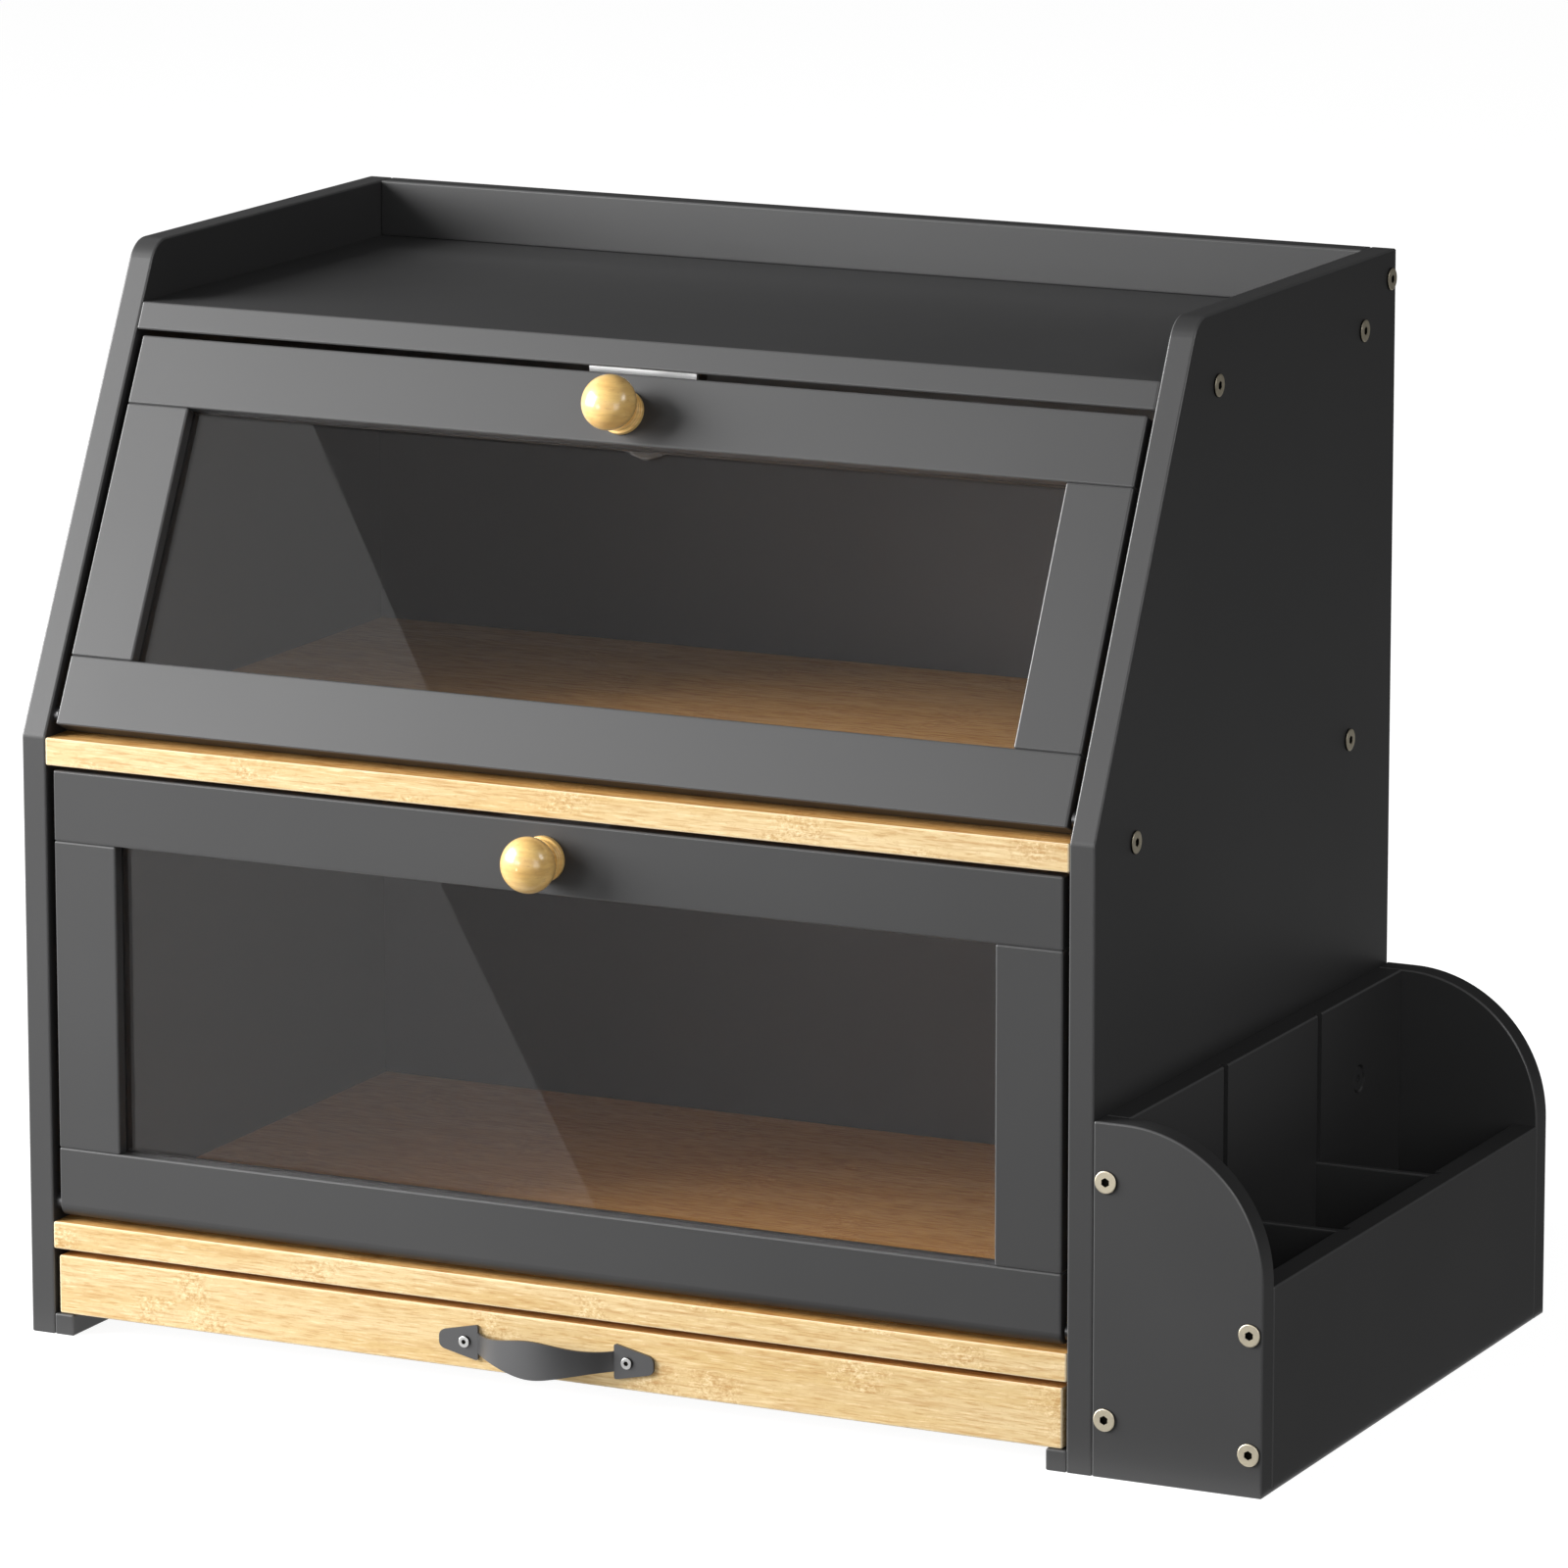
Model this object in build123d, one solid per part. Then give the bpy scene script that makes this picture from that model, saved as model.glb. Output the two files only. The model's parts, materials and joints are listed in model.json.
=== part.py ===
from build123d import *
import os
from math import acos, atan, cos, degrees, sqrt

# Bread box with two flip-down glazed doors, a shallow drawer and a side caddy.
# Millimetres. While it is drawn, x = 0 is the left side panel's outer face,
# y = 0 the front of the carcass and z = 0 the surface that it stands on.
# At the end every piece moves so that the origin is the bottom centre of the whole.

# ---------------------------------------------------------------- driving dimensions
# carcass
board = 10.0                    # side panels, top shelf, door frames, caddy boards
edge_round = 0.8                # eased edge on every board
body_width = 440.0
body_depth = 274.0
body_height = 406.5
knee_above_shelf = 0.4          # the front starts to lean back just above the mid shelf
lean_run = 0.5                  # millimetres back for each millimetre up, above the knee
knee_round = 4.0
top_corner_round = 12.0
tray_depth = 21.9               # the side panels and the back rail stand this far above the top shelf
upper_compartment = 144.0       # clear height between the mid shelf and the top shelf
lower_shelf_under = 33.5
bamboo_shelf = 10.5             # thickness of the two bamboo shelves
back_panel_thickness = 3.0
back_panel_setback = 9.0        # from the carcass's rear edge to the panel's rear face
back_panel_lift = 2.0
groove_depth = 4.0              # grooves that hold thin panels
groove_room = 0.2               # a groove is this much wider than its panel

# drawer rails
runner_width = 8.2
runner_height = 8.2
runner_length = 250.0

# doors
door_side_gap = 2.75
door_recess = 0.9               # the doors sit this far behind the boards' front faces
upper_door_bottom_gap = 5.0     # above the mid shelf, at the door's front face
lower_door_bottom_gap = 2.0
door_top_gap = 1.8
rail_height = 27.0
stile_width = 26.3
upper_pivot_inset = 4.5         # pivot to the front face and to the bottom edge
lower_pivot_inset = 5.0
lower_door_front_round = 5.0    # the lower door's bottom edge is rounded about its pins
pane_thickness = 2.0
pane_depth = 5.0                # from the door's front face to the pane
pane_groove = 5.0               # how deep the grooves for the pane are
pane_room = 0.1                 # room on each side of the pane
pane_top_room = 0.5
tongue_thickness = 2.0          # tongues on the stiles fit the rails' grooves
tongue_length = 4.5

# hinge pins
pin_radius = 1.5
pin_in_panel = 7.0
pin_in_door = 8.0
pin_bore_extra = 1.0            # the bores are this much deeper than the pins reach
pin_running_clearance = 0.05
collar_radius = 3.25
collar_thickness = 2.0

# knobs
knob_flange_radius = 8.6
knob_flange_height = 2.2
knob_bead_radius = 7.6
knob_bead_height = 1.6
knob_rim_round = 0.4
knob_neck_radius = 6.2
knob_ball_radius = 10.5
knob_ball_half_height = 8.4
knob_side_round = 7.4           # radius of the flattened ball's side in section
knob_ball_centre = 12.7         # from the door's face
knob_screw_radius = 1.9
knob_screw_reach = 11.0         # into the knob
knob_screw_head_radius = 3.75
knob_screw_head_height = 2.2
knob_screw_sink = 2.6
upper_knob_drop = 1.5           # below the middle of its rail

# catches
stop_width = 45.6
stop_thickness = 6.0
upper_stop_drop = 35.4
lower_stop_drop = 28.0
stop_tenon = 4.0
magnet_height = 8.0
magnet_thickness = 1.5
magnet_gap = 0.4                # between the closed door and its magnet
strike_width = 40.0
strike_height = 8.0
strike_thickness = 1.2

# panel screws: pale brass heads with a hexagon socket
screw_head_radius = 4.25
screw_head_height = 2.0
screw_head_proud = 0.8
screw_shaft_radius = 2.0
screw_length = 32.0
screw_socket = 3.0              # across flats
screw_socket_depth = 1.2
screw_rim_round = 0.4
screw_hole_room = 0.05
screw_hole_extra = 1.0          # holes are this much deeper than the screws reach
top_screw_front = 106.0         # from the front of the carcass
top_screw_back = 243.0
shelf_screw_front = 35.0
shelf_screw_back = 233.0

# runner screws
runner_screw_radius = 1.25
runner_screw_length = 7.0
runner_screw_head_radius = 2.6
runner_screw_head_height = 1.6
runner_screw_inset = 30.0       # from each end of a runner

# drawer
drawer_front_gap = 1.9          # at each end of the drawer's front
drawer_front_height = 22.6
drawer_front_setback = 0.73
drawer_slide_room = 0.15        # above the runners
drawer_side_gap = 2.5
drawer_side = 8.0
drawer_side_height = 20.6
drawer_back_room = 0.3          # to the back panel when the drawer is shut
drawer_bottom_thickness = 3.0
drawer_bottom_lift = 2.5
drawer_groove = 4.0

# drawer handle
handle_length = 89.0
handle_plate_length = 16.2
handle_plate_height = 13.7
handle_drop = 0.7               # below the middle of the drawer's front
handle_tip_height = 6.4
handle_tip_round = 2.8
handle_thickness = 1.2
handle_bow = 14.6
handle_band_end = 7.6           # the band's height where it leaves the plates
handle_band_middle = 14.6
handle_screw_inset = 5.4        # from the plate's shoulder
handle_screw_head_radius = 2.25
handle_screw_head_height = 1.0
handle_screw_radius = 1.3
handle_screw_length = 9.0
handle_socket = 1.7

# caddy
caddy_width = 66.0
caddy_height = 131.0
caddy_corner = 54.0             # radius of the quarter-round tops
caddy_outer_height = 75.5
caddy_bottom_lift = 4.0
caddy_bottom_thickness = 5.0
caddy_groove = 3.0
divider_thickness = 3.6
divider_room = 0.2              # room on each side of a divider in its grooves
divider_front_place = 95.4      # from the front of the carcass
divider_rear_place = 183.6
divider_below_edge = 1.0        # below the outer side's top edge
divider_end_room = 0.4
caddy_inner_screw_low = 21.7
caddy_inner_screw_high = 109.2
caddy_outer_screw_low = 15.9
caddy_outer_screw_high = 59.7
mount_screw_height = 97.4
mount_screw_inset = 51.4        # from the carcass's front and back
mount_screw_head_radius = 4.75
mount_screw_head_height = 1.8
mount_screw_recess_radius = 5.5
mount_screw_recess_depth = 2.2
mount_screw_length = 16.0

# ---------------------------------------------------------------- sizes that follow
lean = degrees(atan(lean_run))
lean_cos = cos(atan(lean_run))
inner_left = board
inner_right = body_width - board
top_shelf_top = body_height - tray_depth
top_shelf_under = top_shelf_top - board
mid_shelf_top = top_shelf_under - upper_compartment
mid_shelf_under = mid_shelf_top - bamboo_shelf
knee_height = mid_shelf_top + knee_above_shelf
lower_shelf_top = lower_shelf_under + bamboo_shelf
back_panel_rear = body_depth - back_panel_setback
back_panel_front = back_panel_rear - back_panel_thickness
shelf_rear = back_panel_front - groove_room
door_left = board + door_side_gap
door_width = body_width - 2 * door_left
pin_bore_radius = pin_radius + pin_running_clearance
screw_hole_radius = screw_shaft_radius + screw_hole_room


def slope_y(height):
    """How far back the leaning front edge is at a height above the floor."""
    return max(0.0, (height - knee_height) * lean_run)


# ---------------------------------------------------------------- shapes
def block(low, high):
    """A plain box between two corners."""
    size = [b - a for a, b in zip(low, high)]
    middle = [(a + b) / 2 for a, b in zip(low, high)]
    return Pos(*middle) * Box(*size)


def eased_board(low, high, ease=edge_round):
    """A board between two corners, with every edge eased."""
    return fillet(block(low, high).edges(), ease)


def rounded_face(points, radii):
    """A flat face through the points, each corner rounded by its own radius."""
    face = make_face(Polyline(*points, close=True))
    for point, radius in zip(points, radii):
        corner = face.vertices().sort_by_distance((point[0], point[1], 0))[0]
        face = fillet(corner, radius)
    return face


def eased_across(points, radii, x_low, x_high):
    """A board cut to an outline in y and z, from x_low to x_high, ends eased."""
    sheet = Plane.YZ.offset(x_low) * rounded_face(points, radii)
    solid = extrude(sheet, x_high - x_low)
    ends = solid.faces().sort_by(Axis.X)
    return fillet(ends[0].edges() + ends[-1].edges(), edge_round)


def eased_along(points, radii, y_low, y_high):
    """A board cut to an outline in x and z, from y_low to y_high, faces eased."""
    sheet = Plane.XZ.offset(-y_low) * rounded_face(points, radii)
    solid = extrude(sheet, -(y_high - y_low))
    ends = solid.faces().sort_by(Axis.Y)
    return fillet(ends[0].edges() + ends[-1].edges(), edge_round)


def rod(start, direction, radius, length):
    """A round bar from a point along a direction."""
    return extrude(Plane(origin=start, z_dir=direction) * Circle(radius), length)


def stand(local, point, outward):
    """Moves a piece drawn about +Z so that it stands at a point, facing outward."""
    return Plane(origin=point, z_dir=outward).location * local


def socket_screw(head_radius, head_height, shaft_radius, length, across, depth):
    """A screw about Z: the head stands on z = 0, the shaft runs down from it."""
    head = Pos(0, 0, head_height / 2) * Cylinder(head_radius, head_height)
    head = fillet(head.edges().group_by(Axis.Z)[-1], screw_rim_round)
    shaft = Pos(0, 0, -length / 2) * Cylinder(shaft_radius, length)
    hexagon = Pos(0, 0, head_height - depth) * RegularPolygon(across / 2, 6, major_radius=False)
    return head + shaft - extrude(hexagon, depth)


def panel_screw():
    """One of the pale brass screws that hold the boards together."""
    return socket_screw(screw_head_radius, screw_head_height, screw_shaft_radius,
                        screw_length, screw_socket, screw_socket_depth)


def screw_hole(surface, outward, proud=screw_head_proud):
    """The hole for a panel screw whose head stands proud of a surface."""
    inward = tuple(-a for a in outward)
    sink = rod(surface, inward, screw_head_radius, screw_head_height - proud)
    depth = screw_head_height - proud + screw_length + screw_hole_extra
    return sink + rod(surface, inward, screw_hole_radius, depth)


def screw_seat(surface, outward, proud=screw_head_proud):
    """Where the head of a panel screw bears, below the surface."""
    sink = screw_head_height - proud
    return tuple(s - o * sink for s, o in zip(surface, outward))


nodes = {}

# ---------------------------------------------------------------- carcass
# (y, z) of the screws through each side panel; the caddy covers the lower pair on the right
rail_screw = (body_depth - board / 2, (top_shelf_top + body_height) / 2)
top_shelf_screws = [(y, top_shelf_under + board / 2) for y in (top_screw_front, top_screw_back)]
mid_shelf_screws = [(y, mid_shelf_under + bamboo_shelf / 2)
                    for y in (shelf_screw_front, shelf_screw_back)]
lower_shelf_screws = [(y, lower_shelf_under + bamboo_shelf / 2)
                      for y in (shelf_screw_front, shelf_screw_back)]
open_screws = [rail_screw] + top_shelf_screws + mid_shelf_screws


def side_screws(x, outward):
    """Surface point and head height of every screw through one side panel."""
    covered_proud = screw_head_proud if outward[0] < 0 else 0.0
    places = [((x, y, z), screw_head_proud) for y, z in open_screws]
    places += [((x, y, z), covered_proud) for y, z in lower_shelf_screws]
    return places


left_out, right_out = (-1, 0, 0), (1, 0, 0)
left_places = side_screws(0.0, left_out)
right_places = side_screws(body_width, right_out)
left_holes = [screw_hole(point, left_out, proud) for point, proud in left_places]
right_holes = [screw_hole(point, right_out, proud) for point, proud in right_places]


def shelf_between(points, radii):
    """A board between the side panels, drilled for the screws in its ends."""
    shelf = eased_across(points, radii, inner_left, inner_right)
    for hole in left_holes + right_holes:
        shelf -= hole
    return shelf


def rectangle(y0, y1, z0, z1):
    """Corner points of an upright or flat board in y and z."""
    return [(y0, z0), (y1, z0), (y1, z1), (y0, z1)]


square_edges = [edge_round] * 4
top_shelf = shelf_between(
    [(slope_y(top_shelf_under), top_shelf_under), (body_depth, top_shelf_under),
     (body_depth, top_shelf_top), (slope_y(top_shelf_top), top_shelf_top)], square_edges)
back_rail = shelf_between(
    rectangle(body_depth - board, body_depth, top_shelf_top, body_height), square_edges)
mid_shelf = shelf_between(rectangle(0, shelf_rear, mid_shelf_under, mid_shelf_top), square_edges)
lower_shelf = shelf_between(rectangle(0, shelf_rear, lower_shelf_under, lower_shelf_top), square_edges)
nodes["back_rail"] = back_rail
nodes["lower_shelf"] = lower_shelf

back_panel_low = (inner_left - groove_depth + groove_room, back_panel_front, back_panel_lift)
back_panel_high = (inner_right + groove_depth - groove_room, back_panel_rear, top_shelf_under)
nodes["back_panel"] = block(back_panel_low, back_panel_high)
panel_groove = block(
    (inner_left - groove_depth, back_panel_front - groove_room, -board),
    (inner_right + groove_depth, back_panel_rear, top_shelf_under))

# doors: where each one's bottom front corner is, and its pivot
upper_bottom = mid_shelf_top + upper_door_bottom_gap
upper_recess = door_recess / lean_cos
upper_height = (top_shelf_under - door_top_gap - upper_bottom) / lean_cos
upper_corner = (door_left, slope_y(upper_bottom) + upper_recess, upper_bottom)
lower_bottom = lower_shelf_top + lower_door_bottom_gap
lower_height = mid_shelf_under - door_top_gap - lower_bottom
lower_corner = (door_left, door_recess, lower_bottom)
upper_place = Location(upper_corner, (-lean, 0, 0))
lower_place = Location(lower_corner, (0, 0, 0))


def pivot_point(place, inset):
    """A door's pivot at its left edge, from its bottom front corner."""
    return (place * Pos(0, inset, inset)).position


upper_pivot = pivot_point(upper_place, upper_pivot_inset)
lower_pivot = pivot_point(lower_place, lower_pivot_inset)


def hinge_pins(pivot):
    """The two collared pins of a door, and the holes for them in the side panels."""
    pins, holes = [], []
    for x, inward in ((inner_left, 1), (inner_right, -1)):
        start = (x - inward * pin_in_panel, pivot.Y, pivot.Z)
        reach = pin_in_panel + door_side_gap + pin_in_door
        pin = rod(start, (inward, 0, 0), pin_radius, reach)
        pin += rod((x, pivot.Y, pivot.Z), (inward, 0, 0), collar_radius, collar_thickness)
        pins.append(pin)
        holes.append(rod((x, pivot.Y, pivot.Z), (-inward, 0, 0), pin_bore_radius, pin_in_panel))
    return pins, holes


upper_pins, upper_pin_holes = hinge_pins(upper_pivot)
lower_pins, lower_pin_holes = hinge_pins(lower_pivot)
nodes["upper_door_pins"] = Compound(children=upper_pins)
nodes["lower_door_pins"] = Compound(children=lower_pins)

# caddy mounting screws, from inside the caddy into the right side panel
mount_surface_x = body_width + board
mount_points = [(mount_surface_x, y, mount_screw_height)
                for y in (mount_screw_inset, body_depth - mount_screw_inset)]
mount_recesses = [rod(point, left_out, mount_screw_recess_radius, mount_screw_recess_depth)
                  for point in mount_points]
mount_hole_depth = mount_screw_recess_depth + mount_screw_length + screw_hole_extra
mount_shanks = [rod(point, left_out, screw_hole_radius, mount_hole_depth) for point in mount_points]

side_points = [(0, 0), (body_depth, 0), (body_depth, body_height),
               (slope_y(body_height), body_height), (0, knee_height)]
side_radii = [edge_round, edge_round, edge_round, top_corner_round, knee_round]
left_side = eased_across(side_points, side_radii, 0, inner_left) - panel_groove
for cut in left_holes + [upper_pin_holes[0], lower_pin_holes[0]]:
    left_side -= cut
right_side = eased_across(side_points, side_radii, inner_right, body_width) - panel_groove
for cut in right_holes + [upper_pin_holes[1], lower_pin_holes[1]] + mount_shanks:
    right_side -= cut
nodes["left_side_panel"] = left_side
nodes["right_side_panel"] = right_side


def group_of_screws(places, outward):
    """The panel screws at a list of surface points, as separate solids in one group."""
    return Compound(children=[
        stand(panel_screw(), screw_seat(point, outward, proud), outward) for point, proud in places])


nodes["left_panel_screws"] = group_of_screws(left_places, left_out)
nodes["right_panel_screws"] = group_of_screws(right_places, right_out)

# runners for the drawer, each held by two small screws
runner_screws = []
for side, x0, inward in (("left", inner_left, 1), ("right", inner_right, -1)):
    x1 = x0 + inward * runner_width
    runner = eased_board((min(x0, x1), 0, 0), (max(x0, x1), runner_length, runner_height))
    for y in (runner_screw_inset, runner_length - runner_screw_inset):
        seat = (x1 - inward * runner_screw_head_height, y, runner_height / 2)
        screw = rod(seat, (inward, 0, 0), runner_screw_head_radius, runner_screw_head_height)
        reach = runner_width - runner_screw_head_height + runner_screw_length
        screw += rod(seat, (-inward, 0, 0), runner_screw_radius, reach)
        nodes[side + "_side_panel"] -= screw
        runner -= screw
        runner_screws.append(screw)
    nodes["runner_" + side] = runner
nodes["runner_screws"] = Compound(children=runner_screws)


# ---------------------------------------------------------------- stops and magnets
def door_stop(front, under, drop):
    """A half-round tongue that hangs under a shelf, and the magnet on its front face."""
    middle = body_width / 2
    half = stop_width / 2
    rim = EllipticalCenterArc((middle, under), half, drop, start_angle=180, arc_size=180)
    head = Polyline((middle + half, under), (middle + half, under + stop_tenon),
                    (middle - half, under + stop_tenon), (middle - half, under))
    face = Plane.XZ.offset(-front - magnet_thickness) * make_face(rim + head)
    tongue = extrude(face, -stop_thickness)
    magnet_width = 2 * half * sqrt(1 - (magnet_height / drop) ** 2)
    magnet = block((middle - magnet_width / 2, front, under - magnet_height),
                   (middle + magnet_width / 2, front + magnet_thickness, under))
    return tongue, magnet


upper_door_rear_top = (upper_place * Pos(0, board, upper_height)).position
upper_stop_front = upper_door_rear_top.Y + magnet_gap
lower_stop_front = door_recess + board + magnet_gap
upper_stop, upper_magnet = door_stop(upper_stop_front, top_shelf_under, upper_stop_drop)
lower_stop, lower_magnet = door_stop(lower_stop_front, mid_shelf_under, lower_stop_drop)
nodes["upper_door_stop"] = upper_stop
nodes["lower_door_stop"] = lower_stop
nodes["upper_catch_magnet"] = upper_magnet
nodes["lower_catch_magnet"] = lower_magnet
nodes["top_shelf"] = top_shelf - upper_stop
nodes["mid_shelf"] = mid_shelf - lower_stop


# ---------------------------------------------------------------- doors
def knob():
    """The turned knob about Z, standing on z = 0, with its screw's bore."""
    bead_top = knob_flange_height + knob_bead_height
    side_centre = knob_ball_radius - knob_side_round
    flatness = knob_ball_half_height - knob_side_round
    cap_drop = (side_centre ** 2 - flatness ** 2) / (2 * flatness)
    neck_angle = degrees(acos((knob_neck_radius - side_centre) / knob_side_round))
    cap_angle = degrees(atan(cap_drop / side_centre))
    side = CenterArc((side_centre, knob_ball_centre), knob_side_round, -neck_angle, neck_angle + cap_angle)
    cap = CenterArc((0, knob_ball_centre - cap_drop), knob_ball_half_height + cap_drop,
                    cap_angle, 90 - cap_angle)
    ball = side + cap
    bore_top = knob_screw_reach + screw_hole_extra
    stem = Polyline(cap @ 1, (0, bore_top), (knob_screw_radius, bore_top), (knob_screw_radius, 0),
                    (knob_flange_radius, 0), (knob_flange_radius, knob_flange_height),
                    (knob_bead_radius, knob_flange_height), (knob_bead_radius, bead_top),
                    (knob_neck_radius, bead_top), side @ 0)
    body = revolve(Plane.XZ * make_face(ball + stem), Axis.Z)
    rims = body.edges().filter_by(GeomType.CIRCLE).filter_by_position(Axis.Z, 0, bead_top)
    turned = [rim for rim in rims if rim.radius > knob_neck_radius + knob_rim_round]
    return fillet(turned, knob_rim_round)


def knob_screw():
    """The knob's screw about Z: its head is sunk in the rail's rear face at z = 0."""
    shaft_length = board - knob_screw_sink + knob_screw_reach
    return stand(
        socket_screw(knob_screw_head_radius, knob_screw_head_height, knob_screw_radius,
                     shaft_length, screw_socket, screw_socket_depth),
        (0, 0, -knob_screw_sink), (0, 0, 1))


def door(name, height, place, pivot_inset, front_round, knob_drop):
    """A glazed door with its knob, drawn from its bottom front corner, then placed."""
    pane_front = pane_depth - pane_room
    pane_rear = pane_depth + pane_thickness + pane_room
    top_edge = height - rail_height
    middle = door_width / 2
    knob_height = height - rail_height / 2 - knob_drop

    bottom_rail = eased_across(
        rectangle(0, board, 0, rail_height),
        [front_round, edge_round, edge_round, edge_round], 0, door_width)
    bottom_rail -= block((-1, pane_front, rail_height - pane_groove),
                         (door_width + 1, pane_rear, rail_height))
    bore = pin_in_door + pin_bore_extra
    for x, inward in ((0, 1), (door_width, -1)):
        bottom_rail -= rod((x, pivot_inset, pivot_inset), (inward, 0, 0), pin_bore_radius, bore)

    top_rail = eased_across(rectangle(0, board, top_edge, height), square_edges, 0, door_width)
    top_rail -= block((-1, pane_front, top_edge), (door_width + 1, pane_rear, top_edge + pane_groove))
    strike = block((middle - strike_width / 2, board - strike_thickness, height - strike_height),
                   (middle + strike_width / 2, board, height - edge_round))
    top_rail -= block((middle - strike_width / 2, board - strike_thickness, height - strike_height),
                      (middle + strike_width / 2, board + 1, height - edge_round))
    top_rail -= rod((middle, board, knob_height), (0, -1, 0), knob_screw_radius, board)
    top_rail -= rod((middle, board, knob_height), (0, -1, 0), knob_screw_head_radius, knob_screw_sink)

    stiles = {}
    for side, x0 in (("left", 0.0), ("right", door_width - stile_width)):
        stile = eased_board((x0, 0, rail_height), (x0 + stile_width, board, top_edge))
        groove_x = x0 + stile_width - pane_groove if side == "left" else x0
        tongue_x = x0 + edge_round if side == "left" else x0 + pane_groove
        tongue_width = stile_width - pane_groove - edge_round
        stile += block((tongue_x, pane_depth, rail_height - tongue_length),
                       (tongue_x + tongue_width, pane_depth + tongue_thickness, top_edge + tongue_length))
        stile -= block((groove_x, pane_front, rail_height), (groove_x + pane_groove, pane_rear, top_edge))
        stiles[side] = stile

    reach = pane_groove - pane_top_room
    pane = block((stile_width - reach, pane_depth, rail_height - pane_groove),
                 (door_width - stile_width + reach, pane_depth + pane_thickness, top_edge + reach))
    pieces = {
        "bottom_rail": bottom_rail,
        "top_rail": top_rail,
        "left_stile": stiles["left"],
        "right_stile": stiles["right"],
        "window_pane": pane,
        "strike_plate": strike,
        "knob": stand(knob(), (middle, 0, knob_height), (0, -1, 0)),
        "knob_screw": stand(knob_screw(), (middle, board, knob_height), (0, 1, 0)),
    }
    for piece, solid in pieces.items():
        nodes[name + "_" + piece] = place * solid


door("upper_door", upper_height, upper_place, upper_pivot_inset, edge_round, upper_knob_drop)
door("lower_door", lower_height, lower_place, lower_pivot_inset, lower_door_front_round, 0.0)

# ---------------------------------------------------------------- drawer
drawer_low = runner_height + drawer_slide_room
drawer_rear = back_panel_front - drawer_back_room
front_left = inner_left + drawer_front_gap
front_right = inner_right - drawer_front_gap
front_rear = drawer_front_setback + board
side_left = inner_left + drawer_side_gap
side_right = inner_right - drawer_side_gap
side_top = drawer_low + drawer_side_height
bottom_low = drawer_low + drawer_bottom_lift
bottom_high = bottom_low + drawer_bottom_thickness
bottom_cut = block(
    (side_left + drawer_side - drawer_groove, front_rear - drawer_groove, bottom_low),
    (side_right - drawer_side + drawer_groove, drawer_rear - drawer_side + drawer_groove, bottom_high))

drawer_front = eased_board((front_left, drawer_front_setback, drawer_low),
                           (front_right, front_rear, drawer_low + drawer_front_height))
nodes["drawer_side_left"] = eased_board(
    (side_left, front_rear, drawer_low), (side_left + drawer_side, drawer_rear, side_top)) - bottom_cut
nodes["drawer_side_right"] = eased_board(
    (side_right - drawer_side, front_rear, drawer_low), (side_right, drawer_rear, side_top)) - bottom_cut
nodes["drawer_back"] = eased_board(
    (side_left + drawer_side, drawer_rear - drawer_side, drawer_low),
    (side_right - drawer_side, drawer_rear, side_top)) - bottom_cut
nodes["drawer_bottom"] = bottom_cut

# the handle: two arrow-shaped plates and a bowed band between them
handle_height = drawer_low + drawer_front_height / 2 - handle_drop
handle_middle = (body_width / 2, drawer_front_setback, handle_height)
half_length = handle_length / 2
shoulder = half_length - handle_plate_length
half_plate = handle_plate_height / 2


def handle_plate(side):
    """One flat arrow-shaped end of the handle, its point outwards."""
    points = [(side * shoulder, -half_plate), (side * half_length, -handle_tip_height / 2),
              (side * half_length, handle_tip_height / 2), (side * shoulder, half_plate)]
    outline = rounded_face(points, [edge_round, handle_tip_round, handle_tip_round, edge_round])
    return extrude(outline, handle_thickness)


def handle_band():
    """The bowed strip, cut from a curved plate to a height that swells in the middle."""
    outer = ThreePointArc((-shoulder, handle_thickness), (0, handle_bow), (shoulder, handle_thickness))
    inner = ThreePointArc((shoulder, 0), (0, handle_bow - handle_thickness), (-shoulder, 0))
    section = make_face(outer + Line(outer @ 1, inner @ 0) + inner + Line(inner @ 1, outer @ 0))
    curved = extrude(Plane.XZ * section, handle_plate_height, both=True)
    half_end, half_middle = handle_band_end / 2, handle_band_middle / 2
    upper = Spline((-shoulder, half_end), (0, half_middle), (shoulder, half_end),
                   tangents=((1, 0), (1, 0)))
    lower = Spline((shoulder, -half_end), (0, -half_middle), (-shoulder, -half_end),
                   tangents=((-1, 0), (-1, 0)))
    silhouette = make_face(upper + Line(upper @ 1, lower @ 0) + lower + Line(lower @ 1, upper @ 0))
    return curved & extrude(silhouette, handle_bow + handle_thickness)


handle = handle_plate(-1) + handle_plate(1) + handle_band()
handle_screws = []
for side in (-1, 1):
    screw_x = side * (shoulder + handle_screw_inset)
    screw = stand(socket_screw(handle_screw_head_radius, handle_screw_head_height, handle_screw_radius,
                               handle_screw_length, handle_socket, handle_screw_head_height / 2),
                  (screw_x, 0, handle_thickness), (0, 0, 1))
    handle -= rod((screw_x, 0, 0), (0, 0, 1), handle_screw_radius, handle_thickness)
    handle_screws.append(screw)
handle_place = Plane(origin=handle_middle, x_dir=(1, 0, 0), z_dir=(0, -1, 0)).location
nodes["drawer_handle"] = handle_place * handle
nodes["handle_screws"] = Compound(children=[handle_place * screw for screw in handle_screws])
for screw in handle_screws:
    drawer_front -= handle_place * screw
nodes["drawer_front"] = drawer_front - bottom_cut

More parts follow.
